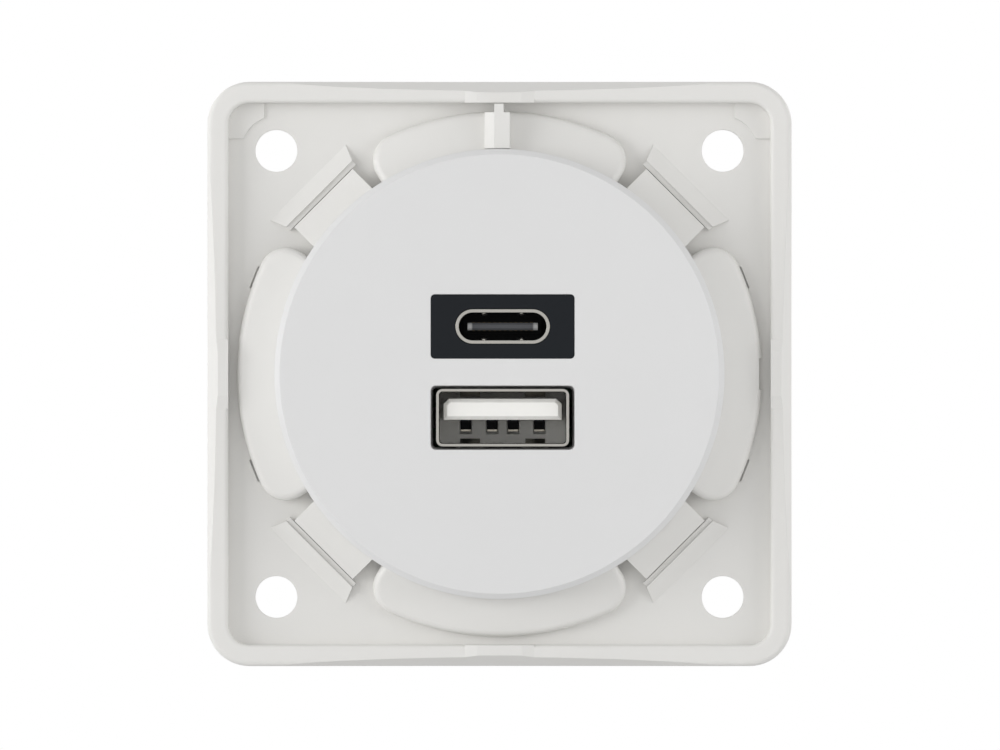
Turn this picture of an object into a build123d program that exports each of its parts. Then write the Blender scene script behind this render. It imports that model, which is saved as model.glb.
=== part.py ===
from build123d import *
from math import cos, radians, sin, sqrt, tan
import os

# USB wall socket: a square mounting plate with a round charger module clipped into it.
# X points right, Z up and Y into the wall. Y is 0 on the wall, and heights count forward from it.

# Mounting plate
plate_side = 55.5
plate_corner = 4.0
rim_width = 2.0
rim_height = 4.4
floor_thickness = 2.4
rim_outer_round = 0.5
rim_inner_round = 0.4
hole_inset = 6.5368
hole_diameter = 4.0
pad_side = 3.4
pad_height = 0.3
pad_head_room = 6.6
scoop_inset = 4.75
scoop_width = 0.85
scoop_lean = 0.5
lug_length = 6.6
lug_end = 1.2
lug_height = 0.3
slot_angle = 21.5
slot_reach = 0.15
slot_width = 0.5
slot_length = 2.2
slot_depth = 0.25

# Catch ramps on the plate, one beside each clip
ramp_height = 0.8
ramp_run = 1.55
ramp_outer_length = 10.2
ramp_inner_length = 8.9
step_height = 0.55
step_gap = 0.05
ledge_height = 0.9
ledge_gap = 0.3

# Collar of the module
sleeve_wall = 1.8
sleeve_depth = 11.5
opening_clearance = 0.3
lobe_gap = 0.8
lobe_overhang = 4.25
lobe_half_angle = 31.6
lobe_corner = 2.6
lobe_edge_round = 0.7
lobe_drop = 1.0
slit_depth = 4.0
slit_width = 0.7
key_left = -1.4
key_right = 1.0
key_slope = 0.9
key_height = 6.3
key_root = 1.0
key_end = 0.1
key_nose_width = 0.9
key_nose_reach = 0.7
flat_length = 2.95
flat_depth = 0.3

# Clips of the collar, on the diagonals
tab_width = 7.85
tab_overhang = 2.95
tab_drop = 1.4
tab_gap = 0.55
clip_inset = 0.35
barb_reach = 0.6
barb_lead = 1.1
barb_clearance = 0.1
barb_side_gap = 0.3

# Front cover
cover_ledge = 2.45
cover_front = 7.7
cover_thickness = 3.0
cover_chamfer = 0.5
cover_clearance = 0.05
skirt_clearance = 0.2
skirt_wall = 1.2
skirt_depth = 2.8
cover_snap_width = 5.0
cover_snap_reach = 0.4
cover_snap_drop = 1.0
cover_snap_height = 1.2
snap_clearance = 0.2

# Ports, shared by the cover and the connectors
port_shift = 0.3
usb_c_height = 4.5
usb_a_height = -4.15

# USB-C connector
bezel_width = 13.6
bezel_height = 6.05
bezel_corner = 0.4
bezel_fit = 0.03
bezel_flange = 0.8
bezel_flange_thickness = 2.0
usb_c_width = 8.94
usb_c_thickness = 3.26
usb_c_wall = 0.3
usb_c_fit = 0.05
usb_c_depth = 6.2
usb_c_tongue_width = 6.65
usb_c_tongue_thickness = 0.7
usb_c_tongue_recess = 0.9
usb_c_root_width = 7.4
usb_c_root_thickness = 1.3
usb_c_root_length = 1.2
usb_c_pin_count = 12
usb_c_pin_pitch = 0.5
usb_c_pin_width = 0.26
usb_c_pin_thickness = 0.06
usb_c_pin_recess = 0.4
dimple_spread = 3.5
dimple_width = 0.7
dimple_rise = 0.22
dimple_recess = 1.2
dimple_length = 1.0

# USB-A connector
usb_a_side_gap = 0.54
usb_a_edge_gap = 0.32
usb_a_opening_corner = 0.5
usb_a_draft = 5.0
usb_a_width = 12.6
usb_a_thickness = 5.46
usb_a_wall = 0.25
usb_a_corner = 0.6
usb_a_recess = 0.25
usb_a_fit = 0.04
usb_a_depth = 8.9
usb_a_tongue_width = 11.2
usb_a_tongue_thickness = 2.0
usb_a_tongue_drop = 0.68
usb_a_tongue_recess = 0.7
usb_a_tongue_corner = 0.5
usb_a_tongue_chamfer = 0.35
usb_a_pin_spread = 3.5
usb_a_pin_inner = 1.0
usb_a_pin_width = 1.0
usb_a_pin_thickness = 0.2
usb_a_pin_recess = 1.4
usb_a_pin_foot = 1.0
usb_a_foot_rise = 0.25
usb_a_window_width = 1.15
usb_a_window_height = 1.38
usb_a_window_depth = 1.6
spring_spread = 6.2
spring_width = 1.9
spring_slot = 0.25
spring_length = 4.6
spring_recess = 1.9
spring_lean = 0.5
leg_width = 1.4
leg_length = 2.4
leg_clearance = 0.3

# Boards
board_thickness = 1.6
board_fit = 0.2
board_seat = 5.4
board_side_gap = 2.3
board_end_gap = 0.6
power_board_height = -2.1
header_pin_count = 6
header_pin_pitch = 2.54
header_pin = 0.64
header_block = 2.54
header_tail = 0.9
pin_hole = 1.1

# Rear housing
housing_depth = 30.0
housing_wall = 1.5
housing_back = 1.8
housing_round = 1.6
joint_step = 0.6
spigot_wall = 1.3
spigot_fit = 0.1
spigot_rise = 1.4
latch_width = 6.0
latch_length = 2.2
latch_reach = 0.7
latch_offset = 1.1
latch_clearance = 0.2
rail_reach = 1.3
rail_thickness = 1.7
rail_fit = 0.05
web_thickness = 1.2
web_lap = 1.5
vent_count = 5
vent_pitch = 5.0
vent_width = 1.4
vent_length = 9.0
vent_height = 9.5

# Terminal block
block_width = 21.2
block_height = 15.0
block_front_wall = 1.1
block_recess = 0.4
block_fit = 0.15
block_edge = 0.5
terminal_pitch = 11.0
terminal_drop = 8.9
pole_groove_width = 1.2
pole_groove_depth = 1.0

# Clamp in each pole of the block
cage_width = 5.2
cage_side_wall = 0.8
cage_front_wall = 1.0
cage_rear_wall = 1.6
cage_window = 4.2
cage_depth = 5.0
cage_round = 0.6
cage_clearance = 0.2
cage_end_clearance = 0.3
cage_travel = 2.5
bar_width = 3.0
bar_thickness = 1.0
bar_gap = 0.2
bar_tail_width = 1.8
bar_tail_rise = 1.5
bar_overhang = 0.1
bar_slot_clearance = 0.1
screw_diameter = 3.0
screw_fit = 0.05
screw_tip_gap = 0.1
screw_head_diameter = 4.8
screw_head_height = 2.2
screw_head_sink = 1.4
screw_well_clearance = 0.3
screw_slot_width = 0.8
screw_slot_depth = 1.0
screw_cross_length = 3.0

# Parts on the boards
core_width = 16.0
core_height = 12.0
core_depth = 5.0
core_leg = 4.4
core_yoke = 2.3
core_side = 2.3
core_inset = 2.6
bobbin_base = 1.8
bobbin_wall = 0.5
bobbin_flange = 0.7
bobbin_fit = 0.05
winding_bulge = 3.0
bulk_edge = 0.5
bulk_core_gap = 1.09
bulk_rail_gap = 0.41
bulk_side_gap = 0.6
bulk_inset = 1.0
smoothing_diameter = 6.3
smoothing_edge = 0.4
smoothing_length = 9.0
smoothing_side_gap = 1.5
smoothing_inset = 0.85
disc_diameter = 7.0
disc_thickness = 3.6
disc_gap = 0.5
disc_inset = 1.0
disc_lead = 1.0
disc_lead_spread = 4.2
disc_lead_diameter = 0.8
choke_diameter = 4.6
choke_length = 8.0
choke_waist = 3.4
choke_flange = 1.1
fuse_width = 6.2
fuse_thickness = 4.0
fuse_length = 7.4
fuse_round = 0.6
under_gap = 0.6
under_inset = 0.3
rectifier_width = 4.7
rectifier_length = 2.8
rectifier_height = 2.4
chip_spread = 6.8
controller_width = 4.4
controller_length = 2.8
controller_height = 1.6
chip_gap = 0.3
charge_chip_side = 4.5
charge_chip_height = 0.9
charge_chip_rise = 11.0

# Positions that follow from the sizes above
tray_side = plate_side - 2 * rim_width
tray_corner = plate_corner - rim_width
hole_spacing = plate_side - 2 * hole_inset
scoop_length = plate_side - 2 * scoop_inset
lobe_radius = tray_side / 2 - lobe_gap
slot_radius = lobe_radius + slot_reach - slot_width / 2
sleeve_radius = lobe_radius - lobe_overhang
sleeve_bore = sleeve_radius - sleeve_wall
tab_reach = sleeve_radius + tab_overhang
cover_radius = sleeve_bore + cover_ledge
cover_seat = cover_front - cover_thickness
skirt_radius = sleeve_bore - skirt_clearance
ramp_start = tab_reach + tab_gap
opening_radius = sleeve_radius + opening_clearance
clip_face = sleeve_radius - clip_inset
barb_tip = opening_radius + barb_reach
lobe_outer_height = cover_seat - lobe_drop
cone_slope = lobe_drop / (lobe_radius - cover_radius)
board_back = board_seat + board_thickness
joint_bore = sleeve_bore + joint_step
spigot_radius = joint_bore - spigot_fit
spigot_bore = spigot_radius - spigot_wall
housing_bore = sleeve_radius - housing_wall
power_board_top = power_board_height + board_thickness
power_board_width = 2 * (housing_bore - board_side_gap)
power_board_rear = housing_depth - housing_back - board_end_gap
usb_a_front = cover_front - usb_a_recess
usb_a_opening_width = usb_a_width + 2 * usb_a_side_gap
usb_a_opening_height = usb_a_thickness + 2 * usb_a_edge_gap
usb_a_inner_width = usb_a_width - 2 * usb_a_wall
usb_a_inner_height = usb_a_thickness - 2 * usb_a_wall
usb_a_floor = usb_a_front - usb_a_depth
usb_a_tongue_top = usb_a_inner_height / 2 - usb_a_tongue_drop
usb_a_tongue_bottom = usb_a_tongue_top - usb_a_tongue_thickness
usb_a_pins = (-usb_a_pin_spread, -usb_a_pin_inner, usb_a_pin_inner, usb_a_pin_spread)
usb_c_inner_width = usb_c_width - 2 * usb_c_wall
usb_c_inner_height = usb_c_thickness - 2 * usb_c_wall
usb_c_floor = cover_front - usb_c_depth
header_row = [(i - (header_pin_count - 1) / 2) * header_pin_pitch for i in range(header_pin_count)]
header_bend = board_back + header_block / 2
header_height = power_board_top + header_block / 2
block_rear = housing_depth - block_recess
block_bottom = power_board_height - block_height
terminal_height = power_board_height - terminal_drop
head_rear = block_rear - screw_head_sink
head_front = head_rear - screw_head_height
cage_rear = head_front - cage_end_clearance - cage_travel
cage_front = cage_rear - cage_rear_wall - cage_window - cage_front_wall
cage_bottom = terminal_height - cage_depth / 2
bar_rear = cage_rear - cage_rear_wall - bar_gap
block_front = cage_front - cage_end_clearance - block_front_wall
side_angles = (0, 90, 180, 270)
diagonal_angles = (45, 135, 225, 315)
poles = {"live": -terminal_pitch / 2, "neutral": terminal_pitch / 2}


def front(height):
    # Sketch plane that faces the viewer, at a height forward of the wall
    return Plane.XZ.offset(height)


def radial(angle):
    # Plane through the centre line: local x runs outward at the angle, local y forward
    c = cos(radians(angle))
    s = sin(radians(angle))
    return Plane(origin=(0, 0, 0), x_dir=(c, 0, s), z_dir=(s, 0, -c))


def side(angle, distance):
    # Plane across the outward direction: local x runs along that side, local y forward
    c = cos(radians(angle))
    s = sin(radians(angle))
    return Plane(origin=(distance * c, 0, distance * s), x_dir=(-s, 0, c), z_dir=(c, 0, s))


def rim_edge(angle):
    # Plane across the bevel of one rim edge: local x runs along the edge, local y out of it
    c = cos(radians(angle))
    s = sin(radians(angle))
    half = plate_side / 2
    return Plane(
        origin=(half * c, -rim_height, half * s),
        x_dir=(-s, 0, c),
        z_dir=(scoop_lean * c, 1, scoop_lean * s),
    )


def half_chord(radius, height):
    # Half the width of a round bore at a height above or below its centre line
    return sqrt(radius ** 2 - height ** 2)


def save(piece, name):
    piece.part.label = name
    export_step(piece.part, f"parts/{name}.step")


os.makedirs("parts", exist_ok=True)

# Mounting plate: a square tray with a raised rim, fixing holes and the opening for the module
with BuildPart() as mounting_plate:
    with BuildSketch(front(0)):
        RectangleRounded(plate_side, plate_side, plate_corner)
    extrude(amount=rim_height)
    with BuildSketch(front(floor_thickness)):
        RectangleRounded(tray_side, tray_side, tray_corner)
    extrude(amount=rim_height - floor_thickness, mode=Mode.SUBTRACT)
    fillet(mounting_plate.faces().sort_by(Axis.Y)[0].outer_wire().edges(), rim_outer_round)
    fillet(mounting_plate.faces().sort_by(Axis.Y)[0].inner_wires()[0].edges(), rim_inner_round)
    # Frame lugs in the middle of each side
    for angle in side_angles:
        with BuildSketch(side(angle, tray_side / 2)):
            Polygon(
                (-lug_length / 2, rim_height - 2 * rim_inner_round),
                (lug_length / 2, rim_height - 2 * rim_inner_round),
                (lug_length / 2, rim_height),
                (lug_length / 2 - lug_end, rim_height + lug_height),
                (lug_end - lug_length / 2, rim_height + lug_height),
                (-lug_length / 2, rim_height),
                align=None,
            )
        extrude(amount=rim_width)
    # Long shallow scoops along the outer edges of the rim
    for angle in side_angles:
        with BuildSketch(rim_edge(angle)):
            with BuildLine():
                ThreePointArc(
                    (-scoop_length / 2, 0),
                    (0, -scoop_width / sqrt(1 + scoop_lean ** 2)),
                    (scoop_length / 2, 0),
                )
                Polyline(
                    (scoop_length / 2, 0),
                    (scoop_length / 2, rim_width),
                    (-scoop_length / 2, rim_width),
                    (-scoop_length / 2, 0),
                )
            make_face()
        extrude(amount=rim_height, both=True, mode=Mode.SUBTRACT)
    # Pads in the two upper corners, beside the screw heads
    with BuildSketch(front(floor_thickness)):
        RectangleRounded(tray_side, tray_side, tray_corner)
        Rectangle(tray_side, tray_side - 2 * pad_side, mode=Mode.SUBTRACT)
        Rectangle(tray_side - 2 * pad_side, tray_side, mode=Mode.SUBTRACT)
        with GridLocations(hole_spacing, hole_spacing, 2, 2):
            Circle(pad_head_room / 2, mode=Mode.SUBTRACT)
        Rectangle(
            tray_side, tray_side, align=(Align.CENTER, Align.MAX), mode=Mode.SUBTRACT
        )
    extrude(amount=pad_height)
    # Ramps outside the clips
    with BuildSketch(front(floor_thickness)):
        with PolarLocations(0, 4, start_angle=45):
            Polygon(
                (ramp_start, -ramp_inner_length / 2),
                (ramp_start + ramp_run, -ramp_outer_length / 2),
                (ramp_start + ramp_run, ramp_outer_length / 2),
                (ramp_start, ramp_inner_length / 2),
                align=None,
            )
    extrude(amount=ramp_height)
    for angle in diagonal_angles:
        with BuildSketch(radial(angle)):
            Polygon(
                (ramp_start, floor_thickness + ramp_height),
                (ramp_start + ramp_run, floor_thickness),
                (ramp_start + ramp_run, floor_thickness + ramp_height),
                align=None,
            )
        extrude(amount=ramp_outer_length / 2, both=True, mode=Mode.SUBTRACT)
    # Low steps between the ramps and the clips
    with BuildSketch(front(floor_thickness)):
        with PolarLocations(tab_reach + step_gap, 4, start_angle=45):
            Rectangle(tab_gap, ramp_inner_length, align=(Align.MIN, Align.CENTER))
    extrude(amount=step_height)
    # Blind slots beside the left and right lobes
    with BuildSketch(front(floor_thickness)):
        for angle in (slot_angle, 180 - slot_angle, 180 + slot_angle, 360 - slot_angle):
            with PolarLocations(slot_radius, 1, start_angle=angle):
                Rectangle(slot_width, slot_length)
    extrude(amount=-slot_depth, mode=Mode.SUBTRACT)
    # Module opening and fixing holes
    with BuildSketch(front(0)):
        Circle(opening_radius)
        with GridLocations(hole_spacing, hole_spacing, 2, 2):
            Circle(hole_diameter / 2)
    extrude(amount=floor_thickness, mode=Mode.SUBTRACT)
    # Ledges behind the floor that the clips catch on
    with BuildSketch(front(0)):
        with PolarLocations(0, 4, start_angle=45):
            Rectangle(
                barb_tip + ledge_gap,
                tab_width + 2 * barb_side_gap,
                align=(Align.MIN, Align.CENTER),
            )
    extrude(amount=ledge_height, mode=Mode.SUBTRACT)
save(mounting_plate, "mounting_plate")

# Collar: the sleeve of the module, with four sloping lobes that rest on the plate and four clips
with BuildPart() as module_collar:
    with BuildSketch(radial(0)):
        Polygon(
            (clip_face, floor_thickness),
            (lobe_radius, floor_thickness),
            (lobe_radius, lobe_outer_height),
            (clip_face, lobe_outer_height + cone_slope * (lobe_radius - clip_face)),
            align=None,
        )
    revolve(axis=Axis.Y)
    # Gaps that part the lobes
    gap_spread = 2 * lobe_radius * tan(radians(45 - lobe_half_angle))
    with BuildSketch(front(floor_thickness)):
        with PolarLocations(0, 4, start_angle=45):
            Polygon(
                (0, 0),
                (2 * lobe_radius, -gap_spread),
                (2 * lobe_radius, gap_spread),
                align=None,
            )
    extrude(amount=cover_front, mode=Mode.SUBTRACT)
    lobe_ends = module_collar.edges().filter_by(Axis.Y).group_by(
        lambda edge: round(sqrt(edge.center().X ** 2 + edge.center().Z ** 2), 1)
    )[-1]
    fillet(lobe_ends, lobe_corner)
    lobe_rims = []
    for lobe_face in module_collar.faces().filter_by(GeomType.CONE):
        for edge in lobe_face.edges():
            if sqrt(edge.center().X ** 2 + edge.center().Z ** 2) > sleeve_radius:
                lobe_rims.append(edge)
    fillet(lobe_rims, lobe_edge_round)
    # Seat of the cover
    with BuildSketch(front(cover_seat)):
        Circle(cover_radius)
    extrude(amount=cover_front, mode=Mode.SUBTRACT)
    # Sleeve with a pair of slits beside each clip
    with BuildSketch(radial(0)):
        Polygon(
            (sleeve_bore, cover_seat),
            (sleeve_radius, cover_seat),
            (sleeve_radius, -sleeve_depth),
            (joint_bore, -sleeve_depth),
            (joint_bore, -board_seat),
            (sleeve_bore, -board_seat),
            align=None,
        )
    revolve(axis=Axis.Y)
    with BuildSketch(front(-slit_depth)):
        with PolarLocations(0, 4, start_angle=45):
            Rectangle(lobe_radius, tab_width + 2 * slit_width, align=(Align.MIN, Align.CENTER))
    extrude(amount=slit_depth + cover_front, mode=Mode.SUBTRACT)
    # Clips with a sloping head on the plate and a barb that catches behind it
    for angle in diagonal_angles:
        with BuildSketch(radial(angle)):
            Polygon(
                (sleeve_bore, -slit_depth - 1),
                (clip_face, -slit_depth - 1),
                (clip_face, barb_clearance - barb_lead),
                (barb_tip, barb_clearance),
                (barb_tip, ledge_height - barb_clearance),
                (clip_face, ledge_height - barb_clearance),
                (clip_face, floor_thickness),
                (tab_reach, floor_thickness),
                (tab_reach, cover_seat - tab_drop),
                (half_chord(cover_radius, tab_width / 2), cover_seat),
                (sleeve_bore, cover_seat),
                align=None,
            )
        extrude(amount=tab_width / 2, both=True)
    # Key rib on the upper lobe, with a nose that points at the rim
    with BuildSketch(Plane.XY.offset(cover_radius + cover_clearance)):
        Polygon(
            (key_left, -floor_thickness - key_root),
            (key_left, -key_height + key_slope),
            (key_left + key_slope, -key_height),
            (key_right, -key_height),
            (key_right, -floor_thickness - key_root),
            align=None,
        )
    extrude(amount=lobe_radius - key_end - cover_radius - cover_clearance)
    with BuildSketch(Plane.XY.offset(lobe_radius - 2 * lobe_edge_round)):
        with Locations((key_left + key_slope, -key_height)):
            Rectangle(
                key_nose_width,
                key_height - floor_thickness - key_root,
                align=(Align.MIN, Align.MIN),
            )
    extrude(amount=2 * lobe_edge_round + key_nose_reach)
    # Flat on the outer edge of the right lobe
    with BuildSketch(side(0, lobe_radius - flat_depth)):
        with Locations((0, floor_thickness)):
            Rectangle(flat_length, lobe_outer_height, align=(Align.CENTER, Align.MIN))
    extrude(amount=2 * flat_depth, mode=Mode.SUBTRACT)
    # Pockets for the snaps of the cover and windows for the latches of the rear housing
    for angle in side_angles:
        with BuildSketch(side(angle, sleeve_bore - cover_snap_reach)):
            with Locations((0, cover_seat - cover_snap_drop)):
                Rectangle(
                    cover_snap_width + 2 * snap_clearance,
                    cover_snap_height + 2 * snap_clearance,
                    align=(Align.CENTER, Align.MAX),
                )
        extrude(amount=2 * cover_snap_reach + snap_clearance, mode=Mode.SUBTRACT)
        with BuildSketch(side(angle, joint_bore - 1)):
            with Locations((0, -board_back - latch_offset)):
                Rectangle(latch_width, latch_length, align=(Align.CENTER, Align.MAX))
        extrude(amount=sleeve_radius - joint_bore + 2, mode=Mode.SUBTRACT)
save(module_collar, "module_collar")

# Front cover: the flat disc with the two port openings and a snap-in skirt
with BuildPart() as front_cover:
    with BuildSketch(front(cover_seat)):
        Circle(cover_radius)
    extrude(amount=cover_thickness)
    chamfer(front_cover.faces().sort_by(Axis.Y)[0].edges(), cover_chamfer)
    with BuildSketch(front(cover_seat)):
        Circle(skirt_radius)
        Circle(skirt_radius - skirt_wall, mode=Mode.SUBTRACT)
    extrude(amount=-skirt_depth)
    for angle in side_angles:
        with BuildSketch(radial(angle)):
            Polygon(
                (skirt_radius - skirt_wall / 2, cover_seat - cover_snap_drop - snap_clearance),
                (skirt_radius + cover_snap_reach, cover_seat - cover_snap_drop - snap_clearance),
                (skirt_radius, cover_seat - cover_snap_drop - snap_clearance - cover_snap_height),
                (
                    skirt_radius - skirt_wall / 2,
                    cover_seat - cover_snap_drop - snap_clearance - cover_snap_height,
                ),
                align=None,
            )
        extrude(amount=cover_snap_width / 2, both=True)
    with BuildSketch(front(cover_seat)):
        with Locations((port_shift, usb_c_height)):
            RectangleRounded(bezel_width + 2 * bezel_fit, bezel_height + 2 * bezel_fit, bezel_corner)
    extrude(amount=cover_thickness, mode=Mode.SUBTRACT)
    with BuildSketch(front(cover_front)):
        with Locations((port_shift, usb_a_height)):
            RectangleRounded(usb_a_opening_width, usb_a_opening_height, usb_a_opening_corner)
    extrude(amount=-cover_thickness, taper=usb_a_draft, mode=Mode.SUBTRACT)
save(front_cover, "front_cover")

# USB-C bezel: the dark plug around the port, with a flange behind the cover
with BuildPart() as usb_c_bezel:
    with BuildSketch(front(cover_seat)):
        with Locations((port_shift, usb_c_height)):
            RectangleRounded(bezel_width, bezel_height, bezel_corner)
    extrude(amount=cover_thickness)
    with BuildSketch(front(cover_seat)):
        with Locations((port_shift, usb_c_height)):
            RectangleRounded(bezel_width + 2 * bezel_flange, bezel_height + 2 * bezel_flange, bezel_flange)
    extrude(amount=-bezel_flange_thickness)
    with BuildSketch(front(cover_front)):
        with Locations((port_shift, usb_c_height)):
            SlotOverall(usb_c_width + 2 * usb_c_fit, usb_c_thickness + 2 * usb_c_fit)
    extrude(amount=-cover_thickness - bezel_flange_thickness, mode=Mode.SUBTRACT)
save(usb_c_bezel, "usb_c_bezel")

# USB-C outer tube: a drawn metal tube with spring dimples and legs in the connector board
with BuildPart() as usb_c_tube:
    with BuildSketch(front(-board_seat)):
        with Locations((port_shift, usb_c_height)):
            SlotOverall(usb_c_width, usb_c_thickness)
            SlotOverall(usb_c_inner_width, usb_c_inner_height, mode=Mode.SUBTRACT)
    extrude(amount=board_seat + cover_front)
    for turn in (1, -1):
        for spread in (-dimple_spread / 2, dimple_spread / 2):
            with BuildSketch(front(cover_front - dimple_recess)):
                with Locations((port_shift + spread, usb_c_height + turn * usb_c_inner_height / 2)):
                    Rectangle(dimple_width, 2 * dimple_rise)
            extrude(amount=-dimple_length, taper=8)
    with BuildSketch(front(-board_seat)):
        with Locations((port_shift, usb_c_height)):
            with GridLocations(usb_c_width - usb_c_wall, 0, 2, 1):
                Rectangle(usb_c_wall, leg_width)
    extrude(amount=-leg_length)
save(usb_c_tube, "usb_c_tube")

# USB-C tongue: the moulded base in the tube with the thin tongue of the port
with BuildPart() as usb_c_tongue:
    with BuildSketch(front(-board_seat)):
        with Locations((port_shift, usb_c_height)):
            SlotOverall(usb_c_inner_width - 2 * usb_c_fit, usb_c_inner_height - 2 * usb_c_fit)
    extrude(amount=board_seat + usb_c_floor)
    with BuildSketch(front(usb_c_floor)):
        with Locations((port_shift, usb_c_height)):
            Rectangle(usb_c_tongue_width, usb_c_tongue_thickness)
    extrude(amount=usb_c_depth - usb_c_tongue_recess)
    chamfer(
        usb_c_tongue.faces().sort_by(Axis.Y)[0].edges().filter_by(Axis.X),
        usb_c_tongue_thickness / 4,
    )
    with BuildSketch(front(usb_c_floor)):
        with Locations((port_shift, usb_c_height)):
            Rectangle(usb_c_root_width, usb_c_root_thickness)
    extrude(amount=usb_c_root_length)
save(usb_c_tongue, "usb_c_tongue")

# USB-C contacts: a row of thin strips on each side of the tongue
with BuildPart() as usb_c_contacts:
    for turn in (1, -1):
        with BuildSketch(front(usb_c_floor + usb_c_root_length)):
            with Locations(
                (
                    port_shift,
                    usb_c_height + turn * (usb_c_tongue_thickness + usb_c_pin_thickness) / 2,
                )
            ):
                with GridLocations(usb_c_pin_pitch, 0, usb_c_pin_count, 1):
                    Rectangle(usb_c_pin_width, usb_c_pin_thickness)
        extrude(amount=usb_c_depth - usb_c_root_length - usb_c_tongue_recess - usb_c_pin_recess)
save(usb_c_contacts, "usb_c_contacts")

# USB-A outer tube: a folded metal tube with two springs in its top and two in its bottom
with BuildPart() as usb_a_tube:
    with BuildSketch(front(-board_seat)):
        with Locations((port_shift, usb_a_height)):
            RectangleRounded(usb_a_width, usb_a_thickness, usb_a_corner)
            RectangleRounded(
                usb_a_inner_width, usb_a_inner_height, usb_a_corner - usb_a_wall, mode=Mode.SUBTRACT
            )
    extrude(amount=board_seat + usb_a_front)
    with BuildSketch(Plane.XY.offset(usb_a_height - usb_a_thickness / 2)):
        with Locations((port_shift, -usb_a_front + spring_recess)):
            with GridLocations(spring_spread, 0, 2, 1):
                Rectangle(
                    spring_width + 2 * spring_slot,
                    spring_length,
                    align=(Align.CENTER, Align.MIN),
                )
    extrude(amount=usb_a_thickness, mode=Mode.SUBTRACT)
    for turn in (1, -1):
        for spread in (-spring_spread / 2, spring_spread / 2):
            wall_in = usb_a_height + turn * usb_a_inner_height / 2
            wall_out = usb_a_height + turn * usb_a_thickness / 2
            spring_back = -usb_a_front + spring_recess + spring_length
            spring_bow = spring_back - 0.7 * spring_length
            spring_tip = spring_back - 0.95 * spring_length
            with BuildSketch(Plane.YZ.offset(port_shift + spread)):
                Polygon(
                    (spring_back + usb_a_wall, wall_in),
                    (spring_back + usb_a_wall, wall_out),
                    (spring_back, wall_out),
                    (spring_bow, wall_out - turn * spring_lean),
                    (spring_tip, wall_out),
                    (spring_tip, wall_in),
                    (spring_bow, wall_in - turn * spring_lean),
                    (spring_back, wall_in),
                    align=None,
                )
            extrude(amount=spring_width / 2, both=True)
    with BuildSketch(front(-board_seat)):
        with Locations((port_shift, usb_a_height)):
            with GridLocations(usb_a_width - usb_a_wall, 0, 2, 1):
                Rectangle(usb_a_wall, leg_width)
    extrude(amount=-leg_length)
save(usb_a_tube, "usb_a_tube")

# USB-A insulator: the moulded base with the wide tongue and a window behind each contact
with BuildPart() as usb_a_insulator:
    with BuildSketch(front(-board_seat)):
        with Locations((port_shift, usb_a_height)):
            RectangleRounded(
                usb_a_inner_width - 2 * usb_a_fit,
                usb_a_inner_height - 2 * usb_a_fit,
                usb_a_corner - usb_a_wall,
            )
    extrude(amount=board_seat + usb_a_floor)
    with BuildSketch(front(usb_a_floor)):
        with Locations((port_shift, usb_a_height + usb_a_tongue_bottom)):
            Rectangle(
                usb_a_tongue_width, usb_a_tongue_thickness, align=(Align.CENTER, Align.MIN)
            )
    extrude(amount=usb_a_depth - usb_a_tongue_recess)
    tongue_front = usb_a_insulator.faces().sort_by(Axis.Y)[0].center().Y
    tongue_corners = usb_a_insulator.edges().filter_by(Axis.Y).filter_by(
        lambda edge: min(vertex.Y for vertex in edge.vertices()) < tongue_front + usb_a_tongue_recess
    )
    chamfer(tongue_corners.group_by(Axis.Z)[-1], usb_a_tongue_corner)
    chamfer(usb_a_insulator.faces().sort_by(Axis.Y)[0].edges(), usb_a_tongue_chamfer)
    with BuildSketch(front(usb_a_floor)):
        for across in usb_a_pins:
            with Locations((port_shift + across, usb_a_height + usb_a_tongue_bottom)):
                Rectangle(
                    usb_a_window_width, usb_a_window_height, align=(Align.CENTER, Align.MAX)
                )
    extrude(amount=-usb_a_window_depth, mode=Mode.SUBTRACT)
save(usb_a_insulator, "usb_a_insulator")

# USB-A contacts: four bent strips under the tongue, each with its foot in a window
with BuildPart() as usb_a_contacts:
    for across in usb_a_pins:
        pin_top = usb_a_height + usb_a_tongue_bottom
        pin_foot = usb_a_floor - usb_a_window_depth
        foot_bottom = pin_top - usb_a_window_height + usb_a_foot_rise
        with BuildSketch(Plane.YZ.offset(port_shift + across)):
            Polygon(
                (-usb_a_front + usb_a_tongue_recess + usb_a_pin_recess, pin_top),
                (-pin_foot, pin_top),
                (-pin_foot, foot_bottom),
                (-pin_foot - usb_a_pin_foot, foot_bottom),
                (-pin_foot - usb_a_pin_foot, foot_bottom + usb_a_pin_thickness),
                (-pin_foot - usb_a_pin_thickness, foot_bottom + usb_a_pin_thickness),
                (-pin_foot - usb_a_pin_thickness, pin_top - usb_a_pin_thickness),
                (-usb_a_front + usb_a_tongue_recess + usb_a_pin_recess, pin_top - usb_a_pin_thickness),
                align=None,
            )
        extrude(amount=usb_a_pin_width / 2, both=True)
save(usb_a_contacts, "usb_a_contacts")

# Header pins: bent pins that join the two boards
with BuildPart() as header_pins:
    for across in header_row:
        with BuildSketch(Plane.YZ.offset(across)):
            Polygon(
                (board_seat - header_tail, header_height - header_pin / 2),
                (board_seat - header_tail, header_height + header_pin / 2),
                (header_bend + header_pin / 2, header_height + header_pin / 2),
                (header_bend + header_pin / 2, power_board_height - header_tail),
                (header_bend - header_pin / 2, power_board_height - header_tail),
                (header_bend - header_pin / 2, header_height - header_pin / 2),
                align=None,
            )
        extrude(amount=header_pin / 2, both=True)
save(header_pins, "header_pins")

# Header block: the moulded strip that carries the pins
with BuildPart() as header_block_body:
    with BuildSketch(Plane.XY.offset(power_board_top)):
        with Locations((0, board_back)):
            Rectangle(
                header_pin_count * header_pin_pitch, header_block, align=(Align.CENTER, Align.MIN)
            )
    extrude(amount=header_block)
    add(header_pins.part, mode=Mode.SUBTRACT)
save(header_block_body, "header_block")

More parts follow.
